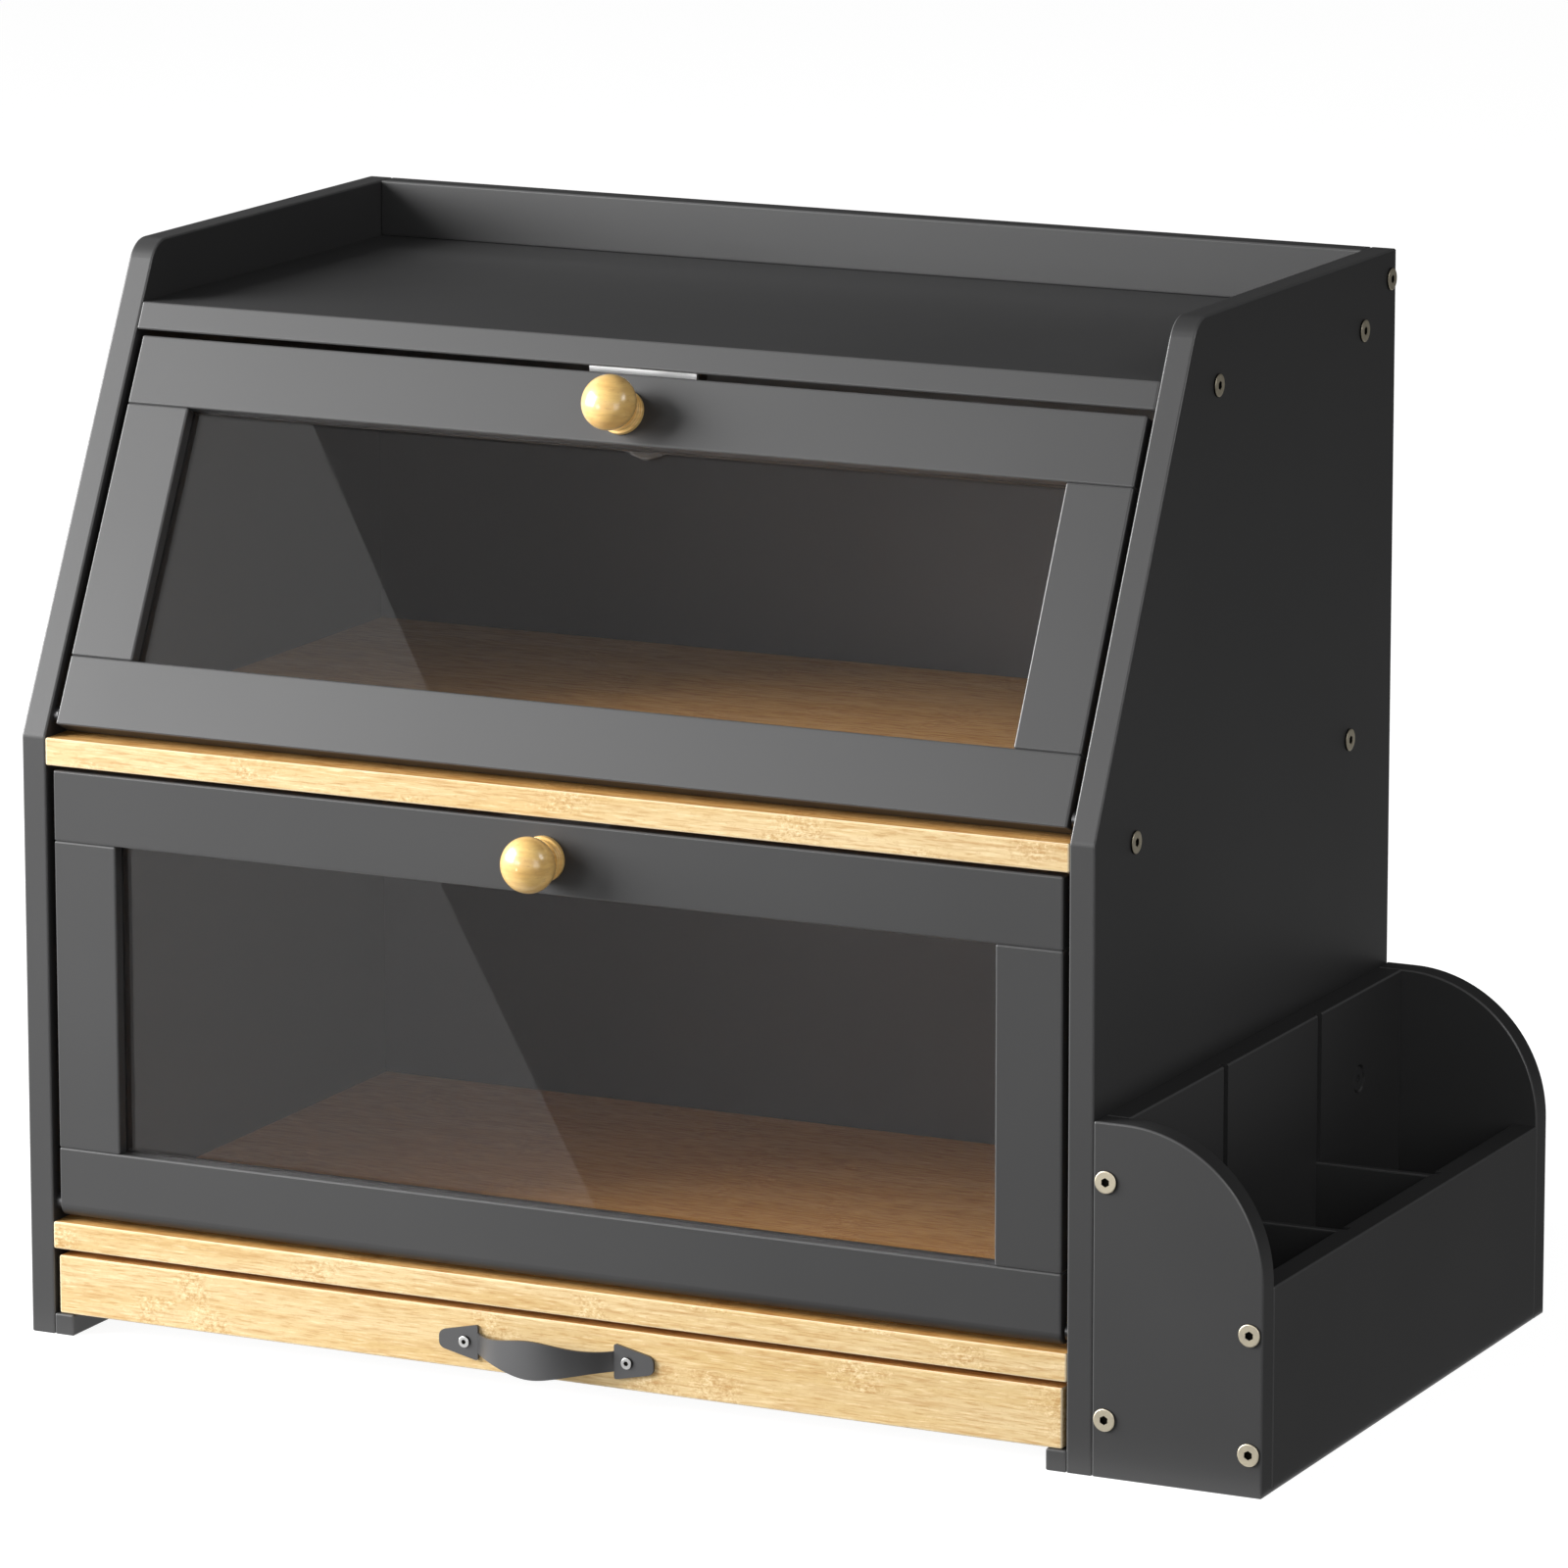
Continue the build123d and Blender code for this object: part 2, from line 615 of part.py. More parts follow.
# ---------------------------------------------------------------- caddy
caddy_left = body_width
caddy_right = body_width + caddy_width
caddy_inner = caddy_left + board
caddy_outer = caddy_right - board
caddy_front_rear = board
caddy_back_front = body_depth - board
bottom_z = (caddy_bottom_lift, caddy_bottom_lift + caddy_bottom_thickness)
caddy_floor = block((caddy_inner - caddy_groove, caddy_front_rear, bottom_z[0]),
                    (caddy_outer + caddy_groove, caddy_back_front, bottom_z[1]))
nodes["caddy_bottom"] = caddy_floor

dividers, divider_slots = [], []
for y in (divider_front_place, divider_rear_place):
    half = divider_thickness / 2
    top = caddy_outer_height - divider_below_edge
    ends = (caddy_inner - caddy_groove + divider_end_room, caddy_outer + caddy_groove - divider_end_room)
    dividers.append(eased_board((ends[0], y - half, bottom_z[1]), (ends[1], y + half, top)))
    slot_half = half + divider_room
    divider_slots.append(block(
        (caddy_inner - caddy_groove, y - slot_half, bottom_z[1]),
        (caddy_outer + caddy_groove, y + slot_half, caddy_height + board)))
nodes["divider_front"], nodes["divider_rear"] = dividers

# screws through the caddy's front and back into the ends of its two sides
caddy_screw_points = [(caddy_left + board / 2, caddy_inner_screw_low),
                      (caddy_left + board / 2, caddy_inner_screw_high),
                      (caddy_right - board / 2, caddy_outer_screw_low),
                      (caddy_right - board / 2, caddy_outer_screw_high)]
caddy_screws, caddy_holes = [], []
for y, outward in ((0.0, (0, -1, 0)), (body_depth, (0, 1, 0))):
    for x, z in caddy_screw_points:
        caddy_screws.append(stand(panel_screw(), screw_seat((x, y, z), outward), outward))
        caddy_holes.append(screw_hole((x, y, z), outward))
nodes["caddy_screws"] = Compound(children=caddy_screws)

inner_side = eased_board((caddy_left, caddy_front_rear, 0), (caddy_inner, caddy_back_front, caddy_height))
outer_side = eased_board(
    (caddy_outer, caddy_front_rear, 0), (caddy_right, caddy_back_front, caddy_outer_height))
for cut in caddy_holes + divider_slots + [caddy_floor]:
    inner_side -= cut
    outer_side -= cut
for cut in mount_recesses + mount_shanks:
    inner_side -= cut
nodes["caddy_inner_side"] = inner_side
nodes["caddy_outer_side"] = outer_side

end_points = [(caddy_left, 0), (caddy_right, 0), (caddy_right, caddy_height), (caddy_left, caddy_height)]
end_radii = [edge_round, edge_round, caddy_corner, edge_round]
caddy_front = eased_along(end_points, end_radii, 0, caddy_front_rear)
caddy_back = eased_along(end_points, end_radii, caddy_back_front, body_depth)
for hole in caddy_holes:
    caddy_front -= hole
    caddy_back -= hole
nodes["caddy_front"] = caddy_front
nodes["caddy_back"] = caddy_back

mount_screws = []
for x, y, z in mount_points:
    screw = socket_screw(mount_screw_head_radius, mount_screw_head_height, screw_shaft_radius,
                         mount_screw_length, screw_socket, screw_socket_depth)
    mount_screws.append(stand(screw, (x - mount_screw_recess_depth, y, z), right_out))
nodes["caddy_mount_screws"] = Compound(children=mount_screws)

# ---------------------------------------------------------------- origin and files
boxes = [shape.bounding_box() for shape in nodes.values()]
low = [min(getattr(box.min, axis) for box in boxes) for axis in "XYZ"]
high = [max(getattr(box.max, axis) for box in boxes) for axis in "XYZ"]
origin = ((low[0] + high[0]) / 2, (low[1] + high[1]) / 2, low[2])
to_origin = Pos(-origin[0], -origin[1], -origin[2])

os.makedirs("parts", exist_ok=True)
for name, shape in nodes.items():
    export_step(to_origin * shape, "parts/" + name + ".step")

print("origin", [round(a, 4) for a in origin])
print("upper pivot", round(upper_pivot.Y - origin[1], 4), round(upper_pivot.Z, 4))
print("lower pivot", round(lower_pivot.Y - origin[1], 4), round(lower_pivot.Z, 4))
print("nodes", len(nodes), "lean", round(lean, 4), "door heights", round(upper_height, 3), lower_height)
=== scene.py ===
"""A bread box with two glazed doors, a bamboo drawer and a side caddy, dressed for a studio picture.

All lengths are in metres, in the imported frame: +X to the right, +Y to the back, +Z up.
"""
import json
import math

import bmesh
import bpy
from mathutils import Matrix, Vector

# ---------------------------------------------------------------- the picture's camera
PICTURE_WIDTH = 1600
FOCAL_PIXELS = 8951.3
CENTRE_PIXELS = (841.2, 631.75)         # where the lens axis meets the picture
CAMERA_PLACE = (1.42199, -2.88502, 0.90222)
CAMERA_YAW = math.radians(25.928)
CAMERA_PITCH = math.radians(11.05)
CAMERA_SEES = 50.0                      # how far it sees
SENSOR_WIDTH = 36.0

# ---------------------------------------------------------------- colours, as linear light
PAINT = (0.029, 0.029, 0.0295)
PAINT_LIGHTER = (0.033, 0.033, 0.0335)
# painted highlight: the colour of the paint's eased edges, brighter than the paint
PAINT_EDGE_HIGHLIGHT = (0.085, 0.085, 0.086)
BAMBOO_PALE = (0.745, 0.572, 0.318)
BAMBOO_DEEP = (0.655, 0.46, 0.203)
BAMBOO_FIBRE = (0.47, 0.25, 0.08)
BAMBOO_SHEEN = (0.90, 0.72, 0.44)
# painted highlight on the eased edges of the bamboo
BAMBOO_EDGE_HIGHLIGHT = (0.93, 0.79, 0.55)
BAMBOO_FLAT_SHADE = (0.97, 0.74, 0.48)        # painted shade: the broad faces of a board are this much deeper
KNOB_PALE = (0.87, 0.59, 0.21)
KNOB_DEEP = (0.75, 0.46, 0.145)
KNOB_FLECK = (0.46, 0.23, 0.06)
BRASS = (0.76, 0.69, 0.54)
BRASS_DARK = (0.66, 0.59, 0.44)
STEEL = (0.92, 0.92, 0.92)
STEEL_DARK = (0.82, 0.82, 0.82)
ZINC = (0.62, 0.62, 0.61)
ZINC_DARK = (0.50, 0.50, 0.49)
# painted shade in the sockets of screw heads, where little light gets in
SOCKET_SHADE = (0.012, 0.011, 0.009)
BLACK_STAIN = (0.010, 0.010, 0.010)
BLACK_STEEL = (0.15, 0.15, 0.153)
BLACK_STEEL_DARK = (0.11, 0.11, 0.112)
GLASS_TINT = (0.69, 0.675, 0.675)
GLASS_LETS_IN = (0.93, 0.92, 0.92)      # lamps shine through a pane this well
WHITE = (1.0, 1.0, 1.0)

# ---------------------------------------------------------------- patterns in the finishes
# Each pattern: its stretch along x, y and z, then the noise's scale, detail and roughness.
BAMBOO_BROAD = ((1.0, 7.0, 12.0), 11.0, 3.0)
BAMBOO_STREAKS = ((38.0, 420.0, 560.0), 1.0, 3.0, 0.62)
BAMBOO_DASHES = ((95.0, 900.0, 1250.0), 1.0, 2.0, 0.6)
BAMBOO_GRIT = ((420.0, 640.0, 780.0), 1.0, 3.0, 0.7)
BAMBOO_MOTTLE = ((520.0, 700.0, 760.0), 1.0, 3.0, 0.7)
KNUCKLE_WANDER = ((1.0, 1.6, 1.6), 110.0, 2.0)
KNOB_BROAD = ((1.0, 2.0, 5.0), 60.0, 2.0)
KNOB_LINES = ((90.0, 220.0, 900.0), 1.0, 3.0, 0.6)
KNOB_SPOTS = ((330.0, 500.0, 1700.0), 1.0, 2.0)
PANE_WIPE = ((1.0, 1.0, 2.5), 16.0, 3.0)
MARK_SCALE = 500.0                      # the fine marks in metal
MARK_DETAIL = 3.0
EVEN = (1.0, 1.0, 1.0)                  # marks alike in all directions
BRUSHED = (0.1, 1.0, 4.0)               # marks drawn out along x
# Each layer of colour: where its pattern starts to show, where it shows in full, and how strongly.
STREAK_FIBRES = (0.50, 0.72, 0.50)
DASH_FIBRES = (0.55, 0.66, 0.55)
DASH_SHEEN = (0.44, 0.32, 0.55)
GRIT_FIBRES = (0.54, 0.70, 0.28)
KNUCKLE_SPOTS = (0.52, 0.62, 0.60)
KNUCKLE_SHEEN = (0.46, 0.36, 0.70)
BROAD_FACE_LINES = (0.50, 0.62, 0.65)
KNOB_LINE_LAYER = (0.45, 0.75, 0.32)
KNOB_SPOT_LAYER = (0.60, 0.72, 0.35)
NOISE_RANGE = (0.3, 0.7)                # where nearly all of a noise's values lie
WANDER_RANGE = (0.25, 0.75)
WIPE_RANGE = (0.45, 0.75)
MARK_RANGE = (0.35, 0.75)

# ---------------------------------------------------------------- sizes in the finishes
STRIP_HEIGHT = 0.0113                   # bamboo strips, as they show on a front
STRIP_START = 0.26                      # of a strip's height
STRIP_WIDTH = 0.021                     # and on the top of a board
STRIP_MIDDLE = 0.5                      # of a strip's width
ROW_SHIFT = 7.31                        # knuckles of the next strip up lie this much further along
ROW_SHIFT_LEVEL = 3.77                  # and of the next strip back
KNUCKLE_SPACING = 0.105
KNUCKLE_WAVE = 0.07                     # of the spacing: how far a knuckle's line wanders
KNUCKLE_FULL = 0.03                     # of the spacing, from a knuckle's middle
KNUCKLE_GONE = 0.12
BROAD_FACE_RANGE = (0.80, 0.98)         # the normal's z, where a broad face begins and is whole
FIBRE_DEPTH = 0.00012
DASH_RELIEF = 0.6                       # dashes stand out less than streaks
PEEL_DEPTH = 0.000008                   # unevenness of paint and of a coat on steel
MARK_DEPTH = 0.000012                   # marks in bare metal
PANEL_MIDDLE = -0.0326                  # half way between the outer faces of the side panels
PANEL_HEAD_FACE = 0.2208                # from there to the faces of their screws
CADDY_MIDDLE = 0.0097                   # half way between the caddy's front and back faces
CADDY_HEAD_FACE = 0.1378                # from there to the faces of the caddy's screws
HANDLE_HEAD_FACE = 0.1385               # from the caddy's middle to the faces of the handle's screws
SOCKET_EDGE = 0.00012                   # depth over which the painted shade in a socket sets in
PAINT_SHINE = 0.53
BAMBOO_SHINE = 0.35
BAMBOO_SHEENS = (0.42, 0.54)            # lowest and highest roughness
KNOB_SHEENS = (0.3, 0.42)
BRASS_SHEENS = (0.42, 0.5)
STEEL_SHEENS = (0.34, 0.42)
ZINC_SHEENS = (0.36, 0.44)
EDGE_POLISH = 0.20                      # taken off the roughness on eased edges
# how strongly the painted highlight shows on the bamboo's edges
BAMBOO_EDGE_HIGHLIGHT_AMOUNT = 0.75
PANE_HAZE = 0.025                       # roughness where a pane was wiped
EDGE_TURNED = 0.93                      # a normal this far along a board's axis is on its edge
EDGE_FLAT = 0.998                       # and this far, on its flat face
UNDERSIDE_RANGE = (-0.3, -0.05)         # the normal's z, where an underside is whole and ends
LEAN_COSINE = 2.0 / math.sqrt(5.0)      # the front leans back 1 for each 2 up
LEAN_SINE = 1.0 / math.sqrt(5.0)

# ---------------------------------------------------------------- the studio's light
FLOOR_REACH = 6.0
FLOOR_COLOUR = 0.30
FLOOR_GLOW = 0.93                       # added where the floor is seen, so that it shows as white
FILL_FROM = (-0.5, -0.7, 0.6)           # the side on which the surround is brightest as light
FILL_EDGE = -0.2                        # cosine of the angle from there at which it is darkest
FILL_DARK = 0.02
FILL_BRIGHT = 0.20
LIGHT_TARGET = (0.0, 0.0, 0.2)
LIGHTS = (                              # name, direction from the box, distance, size, power
    ("key_box", (-0.84, -0.46, 0.33), 2.5, (1.6, 1.3), 138.0),
    ("low_box", (-0.45, -0.87, 0.12), 2.4, (0.7, 0.4), 7.5),
    ("right_box", (0.78, -0.25, 0.58), 2.6, (0.9, 0.9), 14.0),
    ("front_box", (0.60, -0.80, 0.15), 2.6, (1.0, 1.0), 8.0),
)
# Cards that only reflections see. Their shared edges make the slanting edges of the glare in the
# two windows: one runs straight back overhead, the other slants across the floor.
CARD_GLARE = 1.0                        # brightness of the pale card overhead
CARD_FLOOR_GLARE = 0.70                 # of the pale one on the floor
CARD_DIM = 0.11                         # of the dim one overhead
CARD_DARK = 0.03                        # of all the dark ones
CARD_SIDE = 0.22                        # of the one on the floor at the box's right
CARD_SIDE_X = 0.2540
CARD_BACK_Y = 2.4
CARD_RIGHT_X = 2.8
CARD_HEIGHT = 1.9
CARD_EDGE_X = -1.443                    # where the overhead cards meet
FLOOR_CARD_HEIGHT = 0.001
FLOOR_EDGE_NEAR = (0.0125, -0.14)       # ends of the line where the floor cards meet
FLOOR_EDGE_FAR = (-1.397, -2.2)
CARD_REACH = 3.4

# ---------------------------------------------------------------- node helpers
def new_material(name):
    """An empty material; gives the material, its node tree and its output node."""
    material = bpy.data.materials.new(name)
    material.use_nodes = True
    tree = material.node_tree
    tree.nodes.clear()
    output = tree.nodes.new("ShaderNodeOutputMaterial")
    return material, tree, output


def place_group(tree, group, **values):
    """Puts a node group in a tree, with its own values on its inputs."""
    node = tree.nodes.new("ShaderNodeGroup")
    node.node_tree = group
    for name, value in values.items():
        node.inputs[name.replace("_", " ")].default_value = value
    return node


def new_group(name, inputs, outputs):
    """A node group with named sockets; gives the tree and its two end nodes."""
    tree = bpy.data.node_groups.new(name, "ShaderNodeTree")
    for socket, kind, value in inputs:
        made = tree.interface.new_socket(name=socket, in_out="INPUT", socket_type=kind)
        made.default_value = value
    for socket, kind in outputs:
        tree.interface.new_socket(name=socket, in_out="OUTPUT", socket_type=kind)
    start = tree.nodes.new("NodeGroupInput")
    end = tree.nodes.new("NodeGroupOutput")
    return tree, start, end


def object_place(tree, stretch=EVEN):
    """Object coordinates, stretched along each axis."""
    where = tree.nodes.new("ShaderNodeTexCoord")
    mapping = tree.nodes.new("ShaderNodeMapping")
    mapping.inputs["Scale"].default_value = stretch
    tree.links.new(where.outputs["Object"], mapping.inputs["Vector"])
    return mapping.outputs["Vector"]


def noise(tree, stretch, scale, detail, roughness=0.5):
    """A noise texture's value, its pattern stretched along each axis."""
    node = tree.nodes.new("ShaderNodeTexNoise")
    node.inputs["Scale"].default_value = scale
    node.inputs["Detail"].default_value = detail
    node.inputs["Roughness"].default_value = roughness
    tree.links.new(object_place(tree, stretch), node.inputs["Vector"])
    return node.outputs["Fac"]


def sized_noise(tree, where, size, detail):
    """A noise texture's value at a place, its scale given by a socket."""
    node = tree.nodes.new("ShaderNodeTexNoise")
    node.inputs["Detail"].default_value = detail
    tree.links.new(where, node.inputs["Vector"])
    tree.links.new(size, node.inputs["Scale"])
    return node.outputs["Fac"]


def remap(tree, value, low, high, to_low=0.0, to_high=1.0):
    """A value moved from one range to another, and held inside it."""
    node = tree.nodes.new("ShaderNodeMapRange")
    node.inputs["From Min"].default_value = low
    node.inputs["From Max"].default_value = high
    node.inputs["To Min"].default_value = to_low
    node.inputs["To Max"].default_value = to_high
    tree.links.new(value, node.inputs["Value"])
    return node.outputs["Result"]


def math_node(tree, operation, a, b=None):
    """What a maths step makes of one value or of two; b may be a plain number."""
    node = tree.nodes.new("ShaderNodeMath")
    node.operation = operation
    tree.links.new(a, node.inputs[0])
    if isinstance(b, float):
        node.inputs[1].default_value = b
    elif b is not None:
        tree.links.new(b, node.inputs[1])
    return node.outputs["Value"]


def from_one(tree, value):
    """1 less a value."""
    return math_node(tree, "ADD", math_node(tree, "MULTIPLY", value, -1.0), 1.0)


def mix_colours(tree, factor, a, b, blend="MIX"):
    """Two colours mixed by a value; each colour is a socket or three numbers."""
    node = tree.nodes.new("ShaderNodeMix")
    node.data_type = "RGBA"
    node.blend_type = blend
    tree.links.new(factor, node.inputs["Factor"])
    for socket, colour in ((node.inputs[6], a), (node.inputs[7], b)):
        if isinstance(colour, tuple):
            socket.default_value = (*colour, 1.0)
        else:
            tree.links.new(colour, socket)
    return node.outputs[2]


def layer(tree, colour, value, shows, over):
    """A colour with another laid over it where a value shows."""
    start, full, strength = shows
    return mix_colours(tree, remap(tree, value, start, full, 0.0, strength), colour, over)


def layer_within(tree, colour, mask, value, shows, over):
    """A colour with another laid over it where a value shows inside a mask."""
    start, full, strength = shows
    shown = math_node(tree, "MULTIPLY", mask, remap(tree, value, start, full, 0.0, strength))
    return mix_colours(tree, shown, colour, over)


def bump(tree, height, distance):
    """A normal from a height that is counted in the given distance, in metres."""
    node = tree.nodes.new("ShaderNodeBump")
    node.inputs["Strength"].default_value = 1.0
    node.inputs["Distance"].default_value = distance
    tree.links.new(height, node.inputs["Height"])
    return node.outputs["Normal"]


def principled(tree, output, **values):
    """The main shader, with plain values set on its own sockets."""
    shader = tree.nodes.new("ShaderNodeBsdfPrincipled")
    for name, value in values.items():
        socket = shader.inputs[name.replace("_", " ")]
        if isinstance(value, tuple) and len(value) == 3 and socket.type == "RGBA":
            value = (*value, 1.0)
        socket.default_value = value
    tree.links.new(shader.outputs["BSDF"], output.inputs["Surface"])
    return shader


# ---------------------------------------------------------------- shared effects
def make_fine_texture_group():
    """Small unevenness that every finish has: a height and a slow change in sheen."""
    tree, start, end = new_group(
        "fine_texture",
        [("Grain Size", "NodeSocketFloat", 900.0), ("Patch Size", "NodeSocketFloat", 14.0),
         ("Low Sheen", "NodeSocketFloat", 0.4), ("High Sheen", "NodeSocketFloat", 0.5)],
        [("Height", "NodeSocketFloat"), ("Sheen", "NodeSocketFloat"), ("Patch", "NodeSocketFloat")])
    where = object_place(tree)
    grain = sized_noise(tree, where, start.outputs["Grain Size"], 2.0)
    patch = sized_noise(tree, where, start.outputs["Patch Size"], 3.0)
    sheen = tree.nodes.new("ShaderNodeMapRange")
    sheen.inputs["From Min"].default_value, sheen.inputs["From Max"].default_value = NOISE_RANGE
    tree.links.new(patch, sheen.inputs["Value"])
    tree.links.new(start.outputs["Low Sheen"], sheen.inputs["To Min"])
    tree.links.new(start.outputs["High Sheen"], sheen.inputs["To Max"])
    tree.links.new(grain, end.inputs["Height"])
    tree.links.new(sheen.outputs["Result"], end.inputs["Sheen"])
    tree.links.new(patch, end.inputs["Patch"])
    return tree


def line_up(tree, normal, axis):
    """How far a normal lies along an axis, 0 to 1."""
    along = tree.nodes.new("ShaderNodeVectorMath")
    along.operation = "DOT_PRODUCT"
    tree.links.new(normal, along.inputs[0])
    along.inputs[1].default_value = axis
    return math_node(tree, "ABSOLUTE", along.outputs["Value"])


def cut_outline(tree, across):
    """1 on a board's two cut faces and all around its outline, less on the rounds between them."""
    around = math_node(tree, "SQRT", from_one(tree, math_node(tree, "MULTIPLY", across, across)))
    return math_node(tree, "MAXIMUM", across, around)


def make_eased_edges_group():
    """Finds the small rounds on the edges of boards, by how their surface turns."""
    tree, start, end = new_group(
        "eased_edges",
        [("Square Board", "NodeSocketFloat", 0.0), ("Cut Across X", "NodeSocketFloat", 0.0),
         ("Cut Across Y", "NodeSocketFloat", 0.0), ("Skip Below", "NodeSocketFloat", 0.0)],
        [("Edge", "NodeSocketFloat")])
    where = tree.nodes.new("ShaderNodeTexCoord")
    normal = where.outputs["Normal"]
    across_x = line_up(tree, normal, (1.0, 0.0, 0.0))
    across_y = line_up(tree, normal, (0.0, 1.0, 0.0))
    square = math_node(tree, "MAXIMUM", across_x, across_y)
    for axis in ((0.0, 0.0, 1.0), (0.0, -LEAN_COSINE, LEAN_SINE), (0.0, LEAN_SINE, LEAN_COSINE)):
        square = math_node(tree, "MAXIMUM", square, line_up(tree, normal, axis))
    edges = []
    for turned, name in ((square, "Square Board"), (cut_outline(tree, across_x), "Cut Across X"),
                         (cut_outline(tree, across_y), "Cut Across Y")):
        edge = remap(tree, turned, EDGE_TURNED, EDGE_FLAT, 1.0, 0.0)
        edges.append(math_node(tree, "MULTIPLY", edge, start.outputs[name]))
    total = math_node(tree, "ADD", math_node(tree, "ADD", edges[0], edges[1]), edges[2])
    axes = tree.nodes.new("ShaderNodeSeparateXYZ")
    tree.links.new(normal, axes.inputs["Vector"])
    # rounds that face down can be left out, so they get neither the painted highlight nor the polish
    below = remap(tree, axes.outputs["Z"], *UNDERSIDE_RANGE, 1.0, 0.0)
    kept = from_one(tree, math_node(tree, "MULTIPLY", below, start.outputs["Skip Below"]))
    tree.links.new(math_node(tree, "MULTIPLY", total, kept), end.inputs["Edge"])
    return tree


def polished(tree, roughness, edge):
    """A roughness that is lower on eased edges."""
    return math_node(tree, "SUBTRACT", roughness, math_node(tree, "MULTIPLY", edge, EDGE_POLISH))


FINE_TEXTURE = make_fine_texture_group()
EASED_EDGES = make_eased_edges_group()


def make_paint(name, base=PAINT, lighter=PAINT_LIGHTER, **edges):
    """Satin dark grey paint on smooth board: fine orange peel, and a painted highlight on the eased
    edges.
    """
    material, tree, output = new_material(name)
    shader = principled(tree, output, Roughness=0.48, Specular_IOR_Level=PAINT_SHINE)
    fine = place_group(tree, FINE_TEXTURE, Grain_Size=850.0, Patch_Size=9.0,
                       Low_Sheen=0.47, High_Sheen=0.52)
    edge = place_group(tree, EASED_EDGES, **edges).outputs["Edge"]
    colour = mix_colours(tree, fine.outputs["Patch"], base, lighter)
    # painted highlight on the eased edges
    colour = mix_colours(tree, edge, colour, PAINT_EDGE_HIGHLIGHT)
    tree.links.new(colour, shader.inputs["Base Color"])
    tree.links.new(polished(tree, fine.outputs["Sheen"], edge), shader.inputs["Roughness"])
    tree.links.new(bump(tree, fine.outputs["Height"], PEEL_DEPTH), shader.inputs["Normal"])
    return material


def make_bamboo():
    """Pressed bamboo under matte lacquer: strips in rows, fine fibres and mottled knuckles, painted
    shade on the broad faces and a painted highlight on the eased edges.
    """
    material, tree, output = new_material("bamboo")
    shader = principled(tree, output, Roughness=0.5, Specular_IOR_Level=BAMBOO_SHINE)
    where = tree.nodes.new("ShaderNodeTexCoord")
    axes = tree.nodes.new("ShaderNodeSeparateXYZ")
    tree.links.new(where.outputs["Object"], axes.inputs["Vector"])
    # each strip of the board is a row of its own, so its knuckles lie in other places
    upright = math_node(tree, "MULTIPLY", axes.outputs["Z"], 1.0 / STRIP_HEIGHT)
    upright = math_node(tree, "FLOOR", math_node(tree, "ADD", upright, STRIP_START))
    level = math_node(tree, "MULTIPLY", axes.outputs["Y"], 1.0 / STRIP_WIDTH)
    level = math_node(tree, "FLOOR", math_node(tree, "ADD", level, STRIP_MIDDLE))
    row = math_node(tree, "ADD", math_node(tree, "MULTIPLY", upright, ROW_SHIFT),
                    math_node(tree, "MULTIPLY", level, ROW_SHIFT_LEVEL))
    wander = remap(tree, noise(tree, *KNUCKLE_WANDER), *WANDER_RANGE, -KNUCKLE_WAVE, KNUCKLE_WAVE)
    along = math_node(tree, "MULTIPLY", axes.outputs["X"], 1.0 / KNUCKLE_SPACING)
    along = math_node(tree, "ADD", along, row)
    along = math_node(tree, "ADD", along, wander)
    cells = tree.nodes.new("ShaderNodeTexVoronoi")
    cells.voronoi_dimensions = "1D"
    cells.inputs["Scale"].default_value = 1.0
    tree.links.new(along, cells.inputs["W"])
    knuckle = remap(tree, cells.outputs["Distance"], KNUCKLE_FULL, KNUCKLE_GONE, 1.0, 0.0)

    broad = noise(tree, *BAMBOO_BROAD)
    streaks = noise(tree, *BAMBOO_STREAKS)
    dashes = noise(tree, *BAMBOO_DASHES)
    mottle = noise(tree, *BAMBOO_MOTTLE)
    colour = mix_colours(tree, remap(tree, broad, *NOISE_RANGE), BAMBOO_PALE, BAMBOO_DEEP)
    colour = layer(tree, colour, streaks, STREAK_FIBRES, BAMBOO_FIBRE)
    colour = layer(tree, colour, dashes, DASH_FIBRES, BAMBOO_FIBRE)
    colour = layer(tree, colour, dashes, DASH_SHEEN, BAMBOO_SHEEN)
    colour = layer(tree, colour, noise(tree, *BAMBOO_GRIT), GRIT_FIBRES, BAMBOO_FIBRE)
    colour = layer_within(tree, colour, knuckle, mottle, KNUCKLE_SPOTS, BAMBOO_FIBRE)
    colour = layer_within(tree, colour, knuckle, mottle, KNUCKLE_SHEEN, BAMBOO_SHEEN)
    upward = line_up(tree, where.outputs["Normal"], (0.0, 0.0, 1.0))
    broad_face = remap(tree, upward, *BROAD_FACE_RANGE)
    colour = layer_within(tree, colour, broad_face, dashes, BROAD_FACE_LINES, BAMBOO_FIBRE)
    # painted shade that darkens the broad faces of the boards
    colour = mix_colours(tree, broad_face, colour, BAMBOO_FLAT_SHADE, "MULTIPLY")
    edge = place_group(tree, EASED_EDGES, Square_Board=1.0).outputs["Edge"]
    # painted highlight on the eased edges of the bamboo
    edge_highlight = math_node(tree, "MULTIPLY", edge, BAMBOO_EDGE_HIGHLIGHT_AMOUNT)
    colour = mix_colours(tree, edge_highlight, colour, BAMBOO_EDGE_HIGHLIGHT)
    tree.links.new(colour, shader.inputs["Base Color"])
    relief = math_node(tree, "ADD", streaks, math_node(tree, "MULTIPLY", dashes, DASH_RELIEF))
    relief = math_node(tree, "ADD", relief, math_node(tree, "MULTIPLY", knuckle, mottle))
    tree.links.new(bump(tree, relief, FIBRE_DEPTH), shader.inputs["Normal"])
    sheen = remap(tree, broad, *NOISE_RANGE, *BAMBOO_SHEENS)
    tree.links.new(polished(tree, sheen, edge), shader.inputs["Roughness"])
    return material


